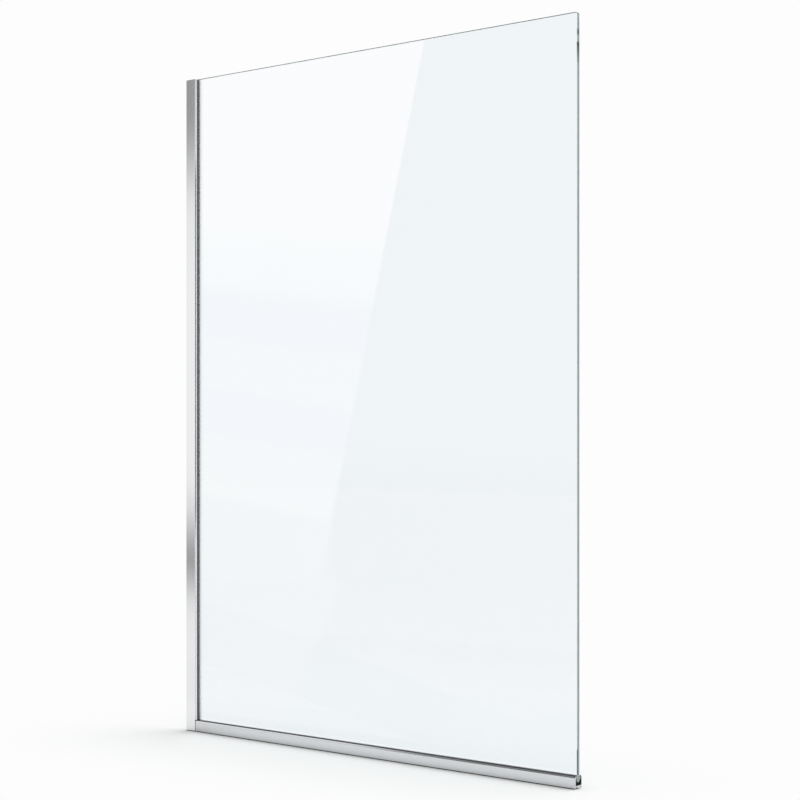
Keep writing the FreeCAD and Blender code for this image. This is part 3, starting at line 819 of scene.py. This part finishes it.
for band in range(3):
    near, far = band * count, (band + 1) * count
    for i in range(count):
        j = (i + 1) % count
        faces.append((near + j, near + i, far + i, far + j))
pane_mesh = bpy.data.meshes.new("toughened_pane")
pane_mesh.from_pydata([p for ring in rings for p in ring], [], faces)
pane_mesh.materials.append(clear_glass)
pane_mesh.materials.append(ground_edge)
for polygon in pane_mesh.polygons[2:]:
    polygon.material_index = 1
pane = bpy.data.objects.new("toughened_pane", pane_mesh)
bpy.context.scene.collection.objects.link(pane)
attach(pane, "glass_side")
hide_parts("glass_pane")
print("pane", len(pane_mesh.polygons), "faces, normal of the front", tuple(pane_mesh.polygons[0].normal))

# %% [markdown]
# ## Node trees that make pieces
# Gaskets, packers and fixings follow simple rules: a section drawn along a line, a rib repeated at a pitch,
# one screw set at four heights. Geometry Nodes suit such rules, because the numbers stay visible as named
# inputs and can be changed later. The result is then frozen into one plain mesh for each piece.

# %% Helpers for geometry trees
def shape_tree(name, inputs):
    """An empty geometry tree. inputs lists its named inputs as (name, socket kind, value)."""
    tree = bpy.data.node_groups.new(name, "GeometryNodeTree")
    tree.interface.new_socket(name="Geometry", in_out="INPUT", socket_type="NodeSocketGeometry")
    for label, kind, value in inputs:
        socket = tree.interface.new_socket(name=label, in_out="INPUT", socket_type=f"NodeSocket{kind}")
        if value is not None:
            socket.default_value = value
    tree.interface.new_socket(name="Geometry", in_out="OUTPUT", socket_type="NodeSocketGeometry")
    return tree, add(tree, "NodeGroupInput").outputs, add(tree, "NodeGroupOutput")


def close_tree(tree, result, geometry, material):
    """Ends a tree in Realize Instances and Set Material."""
    real = add(tree, "GeometryNodeRealizeInstances", {"Geometry": geometry})
    coloured = add(tree, "GeometryNodeSetMaterial", {"Geometry": real.outputs[0], "Material": material})
    tree.links.new(coloured.outputs[0], result.inputs[0])


def grown(name, mesh, tree, settings):
    """Runs a tree on a mesh with the given inputs and returns the plain mesh as a new object."""
    source = bpy.data.objects.new(name, mesh)
    bpy.context.scene.collection.objects.link(source)
    modifier = source.modifiers.new("grow", "NODES")
    modifier.node_group = tree
    sockets = {item.name: item.identifier for item in tree.interface.items_tree if item.in_out == "INPUT"}
    for label, value in settings.items():
        modifier[sockets[label]] = value
    graph = bpy.context.evaluated_depsgraph_get()
    plain = bpy.data.meshes.new_from_object(source.evaluated_get(graph))
    source.modifiers.clear()
    source.data = plain
    plain.name = name
    return source


# %% [markdown]
# ## Handing a piece over
# A finished piece is shaded smooth where its faces nearly agree and sharp where they don't. Then it is
# attached to the body that it moves with, and the CAD nodes that it stands for are hidden.

# %% Helpers that finish a piece
SHARP_FROM = 35


def settle(piece, body, slot, *nodes):
    """Hands a finished piece to the frame: it rides on body and stands for nodes."""
    polygons = piece.data.polygons
    polygons.foreach_set("use_smooth", [True] * len(polygons))
    piece.data.set_sharp_from_angle(angle=radians(SHARP_FROM))
    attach(piece, body)
    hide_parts(*nodes)
    size = [round(1000 * v, 1) for v in piece.dimensions]
    print(piece.name, "faces", len(polygons), "size in mm", size)


def millimetres(node):
    """Lowest and highest corner of a CAD node in millimetres."""
    low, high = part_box(node)
    return low * 1000, high * 1000


# %% [markdown]
# ## Seals and gaskets
# A glazing gasket is rubber pressed through a die, cut to length and pushed in beside the glass. Its
# section never changes: a rounded nose that shows, small fins that bear on the glass, and a notch that
# locks over the ridge in the metal. So the section is drawn once, point by point, and a tree draws it out
# along its length.

# %% Tree that draws a section out
WELD = 1e-6
draw_out, draw_in, draw_result = shape_tree(
    "draw a section out",
    [("Start", "Vector", None), ("Run", "Vector", None), ("Material", "Material", None)],
)
placing = {"Geometry": draw_in["Geometry"], "Translation": draw_in["Start"]}
at_start = add(draw_out, "GeometryNodeTransform", placing).outputs[0]
drawing = {"Mesh": at_start, "Offset": draw_in["Run"], "Individual": False}
drawn = add(draw_out, "GeometryNodeExtrudeMesh", drawing)
first_end = add(draw_out, "GeometryNodeFlipFaces", {"Mesh": at_start})
whole = add(draw_out, "GeometryNodeJoinGeometry")
draw_out.links.new(drawn.outputs[0], whole.inputs[0])
draw_out.links.new(first_end.outputs[0], whole.inputs[0])
welded = add(draw_out, "GeometryNodeMergeByDistance", {"Geometry": whole.outputs[0], "Distance": WELD})
close_tree(draw_out, draw_result, welded.outputs[0], draw_in["Material"])
print("tree", draw_out.name, "with", len(draw_out.nodes), "nodes")

# %% [markdown]
# ## Sections with rounded corners
# A section is easiest to read as its corners, each with a radius, as on a die maker's drawing. These
# helpers put an arc in place of each such corner and lay the outline flat as one face, ready to be drawn
# out.

# %% Helpers for sections
def rounded(corners, steps=5):
    """Points through (u, v, radius) corners in millimetres, with an arc for each corner that has a radius."""
    points = []
    for index, (u, v, radius) in enumerate(corners):
        here = Vector((u, v))
        if not radius:
            points.append(here)
            continue
        before = (Vector(corners[index - 1][:2]) - here).normalized()
        after = (Vector(corners[(index + 1) % len(corners)][:2]) - here).normalized()
        half = before.angle(after) / 2
        centre = here + (before + after).normalized() * (radius / sin(half))
        start = here + before * (radius / tan(half)) - centre
        end = here + after * (radius / tan(half)) - centre
        turn = start.angle_signed(end)
        for step in range(steps + 1):
            arm = start.copy()
            arm.rotate(Matrix.Rotation(-turn * step / steps, 2))
            points.append(centre + arm)
    return points


def section_mesh(name, corners, along):
    """One face with the given outline. along is "x" for a section in Y and Z, and "z" for one in X and Y."""
    flat = [(point.x / 1000, point.y / 1000) for point in rounded(corners)]
    laid = [(0, u, v) if along == "x" else (u, v, 0) for u, v in flat]
    mesh = bpy.data.meshes.new(name)
    mesh.from_pydata(laid, [], [tuple(range(len(laid)))])
    facing = mesh.polygons[0].normal
    if (facing.x if along == "x" else facing.z) < 0:
        mesh.flip_normals()
    return mesh


# %% [markdown]
# ## From section to seal
# Most seals have one section from end to end. The rail's front gasket is cut back at its free end, so that
# only its lip goes on. A seal is therefore made of one or more lengths, each with its own section.

# %% Helper for a seal
def seal(name, lengths, along, node, finish, slot):
    """A seal made of one or more (section, start, end) lengths end to end, in millimetres."""
    axis = Vector((1, 0, 0)) if along == "x" else Vector((0, 0, 1))
    joined = bmesh.new()
    for corners, start, end in lengths:
        settings = {"Start": axis * start / 1000, "Run": axis * (end - start) / 1000, "Material": finish}
        length = grown(name, section_mesh(name, corners, along), draw_out, settings)
        joined.from_mesh(length.data)
        bpy.data.objects.remove(length)
    mesh = bpy.data.meshes.new(name)
    joined.to_mesh(mesh)
    joined.free()
    mesh.materials.append(finish)
    piece = bpy.data.objects.new(name, mesh)
    bpy.context.scene.collection.objects.link(piece)
    settle(piece, "glass_side", slot, node)


# %% [markdown]
# ## The section of a glazing gasket
# All four long seals share one section with other sizes. The fins grip the glass like saw teeth, so the
# seal goes in more easily than it comes out. The notch in its back locks over the barb in the metal.

# %% Section of a glazing gasket
GLASS_SIDE = 4.0
BARB_DEPTH, BARB_WIDTH, BARB_HEIGHT = 2.4, 1.0, 0.6
FIN_COUNT, FIN_DEPTH, FIN_STOP = 6, 0.45, 1.2
FIN_PROFILE = ((0.02, 1), (0.45, 0), (0.60, 0), (0.65, 1))
NOSE_ROOT, NOSE_RADIUS = 1.0, 0.35
GLASS_LIP_RADIUS, NOTCH_RADIUS, ROOT_RADIUS = 0.2, 0.1, 0.3


def gasket_section(back, mouth, nose, leg, cover, slope=0.0):
    """Corners (along, across, radius) of a gasket between the glass and a leg, from its root to its nose.

    mouth is where the metal ends, and the nose stands out of it. cover is how far out the nose reaches.
    """
    fins = []
    pitch = (mouth - FIN_STOP - back) / FIN_COUNT
    for index in range(FIN_COUNT):
        start = back + index * pitch
        fins += [(start + share * pitch, GLASS_SIDE + off * FIN_DEPTH, 0) for share, off in FIN_PROFILE]
    near = mouth - BARB_DEPTH
    over = [(mouth, cover, 0), (mouth, leg, 0)] if cover > leg else []
    return [
        *fins,
        (mouth - NOSE_ROOT, GLASS_SIDE, 0),
        (nose + slope, GLASS_SIDE, GLASS_LIP_RADIUS),
        (nose, cover, NOSE_RADIUS),
        *over,
        (near, leg, 0),
        (near, leg - BARB_HEIGHT, NOTCH_RADIUS),
        (near - BARB_WIDTH, leg, 0),
        (back, leg, ROOT_RADIUS),
    ]


def beside(corners, side, along):
    """The same section on one side of the glass, as (X, Y) or (Y, Z) corners."""
    if along == "z":
        return [(length, side * across, radius) for length, across, radius in corners]
    return [(side * across, length, radius) for length, across, radius in corners]


# %% [markdown]
# ## Gaskets of the inner profile
# The glass stands between a black gasket on the room's side and a clear seal on the bath's side. The black one
# shows as a thin upright line. Its skin is a little glossier than the rail's, and its rubber is a lighter grey
# that is partly a painted sheen, which gives it a tone of its own.

# %% Gaskets of the inner profile
PROFILE_WALL = 1.3
_, profile_high = millimetres("inner_profile")
low, high = millimetres("profile_gasket_front")
upright_section = gasket_section(low.x, profile_high.x, high.x, profile_high.y - PROFILE_WALL, -low.y)
for name, side, node, finish, slot in (
    ("upright_gasket", -1, "profile_gasket_front", upright_rubber, "black_rubber"),
    ("upright_seal", 1, "profile_seal_rear", clear_seal, "clear_seal"),
):
    seal(name, [(beside(upright_section, side, "z"), low.z, high.z)], "z", node, finish, slot)

# %% [markdown]
# ## Gaskets of the rail
# Along the rail the black gasket ends in a lip that leans against the glass, so that drops run off it. Its
# last millimetres are the lip alone. The clear seal behind the glass stands only a little above the metal.

# %% Gaskets of the rail
LIP_RISE, LIP_SLOPE = 1.2, 0.6
CUT_BACK = 3.2
_, rail_high = millimetres("bottom_rail")
low, high = millimetres("rail_gasket_front")
lip_top = rail_high.z + LIP_RISE
lip_section = [
    (rail_high.z, GLASS_SIDE, 0),
    (lip_top + LIP_SLOPE, GLASS_SIDE, GLASS_LIP_RADIUS),
    (lip_top, -low.y, NOSE_RADIUS),
    (rail_high.z, -low.y, 0),
]
whole_section = gasket_section(low.z, rail_high.z, lip_top, -low.y, -low.y, slope=LIP_SLOPE)
front_lengths = [
    (beside(whole_section, -1, "x"), low.x, high.x - CUT_BACK),
    (beside(lip_section, -1, "x"), high.x - CUT_BACK, high.x),
]
seal("rail_gasket", front_lengths, "x", "rail_gasket_front", black_rubber, "black_rubber")
low, high = millimetres("rail_seal_rear")
rear_length = (beside(gasket_section(low.z, rail_high.z, high.z, high.y, high.y), 1, "x"), low.x, high.x)
seal("rail_seal", [rear_length], "x", "rail_seal_rear", rail_clear_seal, "clear_seal")

# %% [markdown]
# ## Strips under the glass and under the rail
# The glass stands on a ribbed strip, whose grooves give when the pane settles. The strip under the rail has
# lips that bear on the rim and keep water from running under. Both are combs in section, so one function
# draws them.

# %% Ribbed strips
COMB_PROFILE = (0.55, 0.62, 0.93)
PLAIN_RADIUS, TOOTH_RADIUS = 0.2, 0.15


def comb_section(low, high, teeth, depth, side):
    """Corners (Y, Z) of a strip with grooves of the given depth in its top (side 1) or its foot (side -1)."""
    toothed, plain = (high.z, low.z) if side > 0 else (low.z, high.z)
    groove = toothed - side * depth
    pitch = (high.y - low.y) / teeth
    tooth_end, groove_start, groove_end = [share * pitch for share in COMB_PROFILE]
    corners = [(high.y, plain, PLAIN_RADIUS), (low.y, plain, PLAIN_RADIUS)]
    for index in range(teeth):
        start = low.y + index * pitch
        corners += [(start, toothed, TOOTH_RADIUS), (start + tooth_end, toothed, TOOTH_RADIUS)]
        if index < teeth - 1:
            corners += [(start + groove_start, groove, 0), (start + groove_end, groove, 0)]
    corners[-1] = (high.y, toothed, TOOTH_RADIUS)
    return corners


for name, node, teeth, depth, side, finish in (
    ("setting_strip", "rail_setting_strip", 9, 0.9, 1, strip_rubber),
    ("rim_strip", "rim_seal", 5, 0.8, -1, black_rubber),
):
    low, high = millimetres(node)
    strip_length = (comb_section(low, high, teeth, depth, side), low.x, high.x)
    seal(name, [strip_length], "x", node, finish, "black_rubber")

# %% [markdown]
# ## One fixing, set in a row
# The clamp screws and their caps stand at four heights and the packers at three, each time at an even step.
# So one of each is modelled, and a tree sets it along an upright line. The first and last height are read
# from CAD, which spreads them evenly.

# %% Tree that sets a row
row, row_in, row_result = shape_tree("row of fixings", [
    ("Count", "Int", 4), ("First", "Vector", None), ("Step", "Vector", None), ("Material", "Material", None),
])
line = {"Count": row_in["Count"], "Start Location": row_in["First"], "Offset": row_in["Step"]}
places = add(row, "GeometryNodeMeshLine", line).outputs[0]
copies = add(row, "GeometryNodeInstanceOnPoints", {"Points": places, "Instance": row_in["Geometry"]})
close_tree(row, row_result, copies.outputs[0], row_in["Material"])


def in_a_row(name, mesh, node, count, half, finish, slot, body):
    """Sets count copies of a fixing whose half height is half, from the foot to the head of its CAD node."""
    low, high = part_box(node)
    first = low.z + half
    step = (high.z - half - first) / (count - 1)
    places = {"Count": count, "First": Vector((0, 0, first)), "Step": Vector((0, 0, step))}
    piece = grown(name, mesh, row, {**places, "Material": finish})
    print(name, "at heights", [round(first + step * i, 4) for i in range(count)])
    settle(piece, body, slot, node)


# %% [markdown]
# ## Turned parts
# Caps and screws are round, so each is an outline turned about its axis, as on a lathe. Points on the axis
# fall together and are merged, and then all faces are made to point outwards.

# %% Helpers for turned parts
def turned(name, outline, centre_x, segments=48):
    """A part turned about an axis along Y. outline is a closed run of (radius, y) points in millimetres."""
    points, faces = [], []
    for step in range(segments):
        angle = 2 * pi * step / segments
        for radius, y in outline:
            points.append(((centre_x + radius * cos(angle)) / 1000, y / 1000, radius * sin(angle) / 1000))
    size = len(outline)
    for step in range(segments):
        here, after = step * size, (step + 1) % segments * size
        for index in range(size):
            follow = (index + 1) % size
            if max(outline[index][0], outline[follow][0]) > 0:
                faces.append((here + index, here + follow, after + follow, after + index))
    mesh = bpy.data.meshes.new(name)
    mesh.from_pydata(points, [], faces)
    lathe = bmesh.new()
    lathe.from_mesh(mesh)
    bmesh.ops.remove_doubles(lathe, verts=lathe.verts, dist=WELD)
    bmesh.ops.recalc_face_normals(lathe, faces=lathe.faces)
    lathe.to_mesh(mesh)
    lathe.free()
    return mesh


def arc(centre, radius, angles):
    """Points (radius, y) along an arc, with angles in degrees from the part's radius towards +Y."""
    return [(centre[0] + radius * cos(radians(a)), centre[1] + radius * sin(radians(a))) for a in angles]


# %% [markdown]
# ## Notches and recesses
# A notch for a fingernail and a cross for a screwdriver are cut with plain boxes. A Boolean modifier does
# that on the finished turned shape, and its result is frozen at once.

# %% Helpers that cut
def box_cutter(size, centre):
    """A box as a cutting tool, in millimetres."""
    cutter = bmesh.new()
    bmesh.ops.create_cube(cutter, size=0.001)
    bmesh.ops.scale(cutter, vec=size, verts=cutter.verts)
    bmesh.ops.translate(cutter, vec=Vector(centre) / 1000, verts=cutter.verts)
    mesh = bpy.data.meshes.new("cutter")
    cutter.to_mesh(mesh)
    cutter.free()
    return bpy.data.objects.new("cutter", mesh)


def cut_away(mesh, cutters):
    """The mesh with every cutter's volume taken out."""
    block = bpy.data.objects.new(mesh.name, mesh)
    bpy.context.scene.collection.objects.link(block)
    for cutter in cutters:
        bpy.context.scene.collection.objects.link(cutter)
        modifier = block.modifiers.new("cut", "BOOLEAN")
        modifier.operation = "DIFFERENCE"
        modifier.solver = "EXACT"
        modifier.object = cutter
    graph = bpy.context.evaluated_depsgraph_get()
    result = bpy.data.meshes.new_from_object(block.evaluated_get(graph))
    for spare in (*cutters, block):
        bpy.data.objects.remove(spare)
    return result


# %% [markdown]
# ## Round cover caps
# Each clamp screw is hidden by a plated cap that snaps over the rim of its washer. It is a thin shell with
# a rounded crown, a dished face, a snap ridge inside its skirt, and a notch in the skirt to lift it off by.

# %% Round cover caps
cap_low, cap_high = millimetres("screw_caps")
AXIS_X = (cap_low.x + cap_high.x) / 2
CAP_RADIUS = (cap_high.x - cap_low.x) / 2
CAP_FOOT, CAP_TOP = cap_low.y, cap_high.y
CAP_INNER = 5.6
FOOT_CHAMFER, FOOT_CHAMFER_HEIGHT = 0.1, 0.15
CROWN, DISH, DISH_START, DISH_END = 1.1, 0.25, 0.5, 1.0
CAP_CEILING, CEILING_CHAMFER = 0.9, 0.3
SNAP_HEIGHTS, SNAP_DEPTH = (1.0, 0.8, 0.6), 0.08
PRY_NOTCH = (2.4, 1.4, 1.6)
crown_x, ceiling, snap = CAP_RADIUS - CROWN, CAP_TOP - CAP_CEILING, [CAP_FOOT + h for h in SNAP_HEIGHTS]
cap_outline = [
    (CAP_INNER, CAP_FOOT), (CAP_RADIUS - FOOT_CHAMFER, CAP_FOOT),
    (CAP_RADIUS, CAP_FOOT + FOOT_CHAMFER_HEIGHT),
    *arc((crown_x, CAP_TOP - CROWN), CROWN, (0, 15, 30, 45, 60, 75, 90)),
    (crown_x - DISH_START, CAP_TOP), (crown_x - DISH_END, CAP_TOP - DISH), (0, CAP_TOP - DISH),
    (0, ceiling), (CAP_INNER - CEILING_CHAMFER, ceiling), (CAP_INNER, ceiling - CEILING_CHAMFER),
    (CAP_INNER, snap[0]), (CAP_INNER - SNAP_DEPTH, snap[1]), (CAP_INNER, snap[2]),
]
cap_mesh = turned("screw_cover_caps", cap_outline, AXIS_X)
cap_mesh = cut_away(cap_mesh, [box_cutter(PRY_NOTCH, (AXIS_X, CAP_FOOT, -CAP_RADIUS))])
half = CAP_RADIUS / 1000
in_a_row("screw_cover_caps", cap_mesh, "screw_caps", 4, half, cap_plating, "chrome_cap", "wall_side")

# %% [markdown]
# ## A thread
# The thread is a small three-sided bar that winds round the shank. A spiral curve with that bar as its
# profile gives it, with as many turns as the pitch asks for.

# %% Tree that winds a thread
thread, thread_in, thread_result = shape_tree(
    "thread",
    [
        ("Turns", "Float", 6.0), ("Length", "Float", 0.0042), ("Radius", "Float", 0.0017),
        ("Bar", "Float", 0.0003), ("Place", "Vector", None), ("Material", "Material", None),
    ],
)
helix = add(thread, "GeometryNodeCurveSpiral", {
    "Resolution": 24, "Rotations": thread_in["Turns"], "Start Radius": thread_in["Radius"],
    "End Radius": thread_in["Radius"], "Height": thread_in["Length"],
})
bar = add(thread, "GeometryNodeCurvePrimitiveCircle", {"Resolution": 3, "Radius": thread_in["Bar"]})
winding = {"Curve": helix.outputs[0], "Profile Curve": bar.outputs[0], "Fill Caps": True}
wound = add(thread, "GeometryNodeCurveToMesh", winding)
laid = add(thread, "GeometryNodeTransform", {
    "Geometry": wound.outputs[0], "Rotation": (-pi / 2, 0, 0), "Translation": thread_in["Place"],
})
close_tree(thread, thread_result, laid.outputs[0], thread_in["Material"])
print("tree", thread.name, "with", len(thread.nodes), "nodes")

# %% [markdown]
# ## Clamp screws
# Each screw is turned, cross-cut and threaded. It has a chamfered tip, a root that the thread winds round,
# a plain neck where it goes through the channel, and a pan head with a round shoulder and a cross recess.

# %% Clamp screws with thread and cross recess
screw_low, screw_high = millimetres("clamp_screws")
HEAD_RADIUS = (screw_high.x - screw_low.x) / 2
SEAT, HEAD_TOP = 11.5, screw_high.y
HEAD_CHAMFER, HEAD_EDGE = 0.1, 0.5
NECK, ROOT, TIP = 1.98, 1.62, 0.5
ROOT_END, NECK_START = 8.9, 9.3
RECESS_DEPTH, RECESS_ARM, RECESS_WIDTH = 1.2, 3.8, 0.9
head_round = HEAD_TOP - SEAT - HEAD_EDGE
shoulder = arc((HEAD_RADIUS - head_round, SEAT + HEAD_EDGE), head_round, (15, 35, 55, 75, 90))
screw_outline = [
    (0, screw_low.y), (ROOT - TIP, screw_low.y), (ROOT, screw_low.y + TIP), (ROOT, ROOT_END),
    (NECK, NECK_START), (NECK, SEAT), (HEAD_RADIUS - HEAD_CHAMFER, SEAT),
    (HEAD_RADIUS, SEAT + HEAD_CHAMFER), (HEAD_RADIUS, SEAT + HEAD_EDGE), *shoulder, (0, HEAD_TOP),
]
screw_mesh = turned("clamp_screws_threaded", screw_outline, AXIS_X)
arms = ((RECESS_ARM, RECESS_WIDTH), (RECESS_WIDTH, RECESS_ARM))
cross = [box_cutter((size_x, 2 * RECESS_DEPTH, size_z), (AXIS_X, HEAD_TOP, 0)) for size_x, size_z in arms]
screw_mesh = cut_away(screw_mesh, cross)

# %% [markdown]
# ## Thread on the screws
# The thread is grown from its tree and joined to the turned screw. The bar sinks a little into the root, so
# that only its crest stands out, and the screw is then set in its row of four.

# %% Thread on the screws
THREAD_START = 0.35
thread_settings = {
    "Turns": 6.0, "Length": 0.0042, "Radius": 0.00172, "Bar": 0.00026,
    "Place": Vector((AXIS_X, screw_low.y + THREAD_START, 0)) / 1000, "Material": fixing_steel,
}
thread_object = grown("thread", bpy.data.meshes.new("thread"), thread, thread_settings)
with_thread = bmesh.new()
with_thread.from_mesh(screw_mesh)
with_thread.from_mesh(thread_object.data)
with_thread.to_mesh(screw_mesh)
with_thread.free()
bpy.data.objects.remove(thread_object)
half = HEAD_RADIUS / 1000
in_a_row("clamp_screws_threaded", screw_mesh, "clamp_screws", 4, half, fixing_steel, "steel", "wall_side")

# %% [markdown]
# ## Packers behind the glass
# A packer keeps the glass off the metal. Sawn from a ribbed bar, it grips the rubber on both sides and can
# be snapped to length. Its ribs run upright, so the section is drawn once and stands at three heights.

# %% Ribbed packers
PACKER_LENGTH = 60.0
PACKER_RIBS, RIB_HEIGHT = 8, 0.7
RIB_PROFILE = ((0.08, 0), (0.55, 0), (0.65, RIB_HEIGHT), (0.98, RIB_HEIGHT))
pack_low, pack_high = millimetres("edge_packers")
pitch = (pack_high.x - pack_low.x) / PACKER_RIBS
edge = []
for index in range(PACKER_RIBS):
    start = pack_low.x + index * pitch
    edge += [(start + share * pitch, pack_high.y - drop) for share, drop in RIB_PROFILE]
edge = [(pack_low.x, pack_high.y), *edge[1:-2], (pack_high.x, pack_high.y - RIB_HEIGHT)]
packer_corners = [(x, y, 0) for x, y in edge] + [(x, -y, 0) for x, y in reversed(edge)]
packer = grown("packer", section_mesh("packer", packer_corners, "z"), draw_out, {
    "Start": Vector((0, 0, -PACKER_LENGTH / 2000)), "Run": Vector((0, 0, PACKER_LENGTH / 1000)),
    "Material": clear_packer,
})
half = PACKER_LENGTH / 2000
in_a_row("glass_packers", packer.data, "edge_packers", 3, half, clear_packer, "clear_packer", "glass_side")
bpy.data.objects.remove(packer)

# %% [markdown]
# ## Sizes and close
# CAD gave the object its size, and nothing made here may change it. So the box from the start and the box
# of the finished model are written side by side, to be compared.

# %% Sizes and close
low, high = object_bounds()
print("visual box", [round(v, 4) for v in low], [round(v, 4) for v in high])
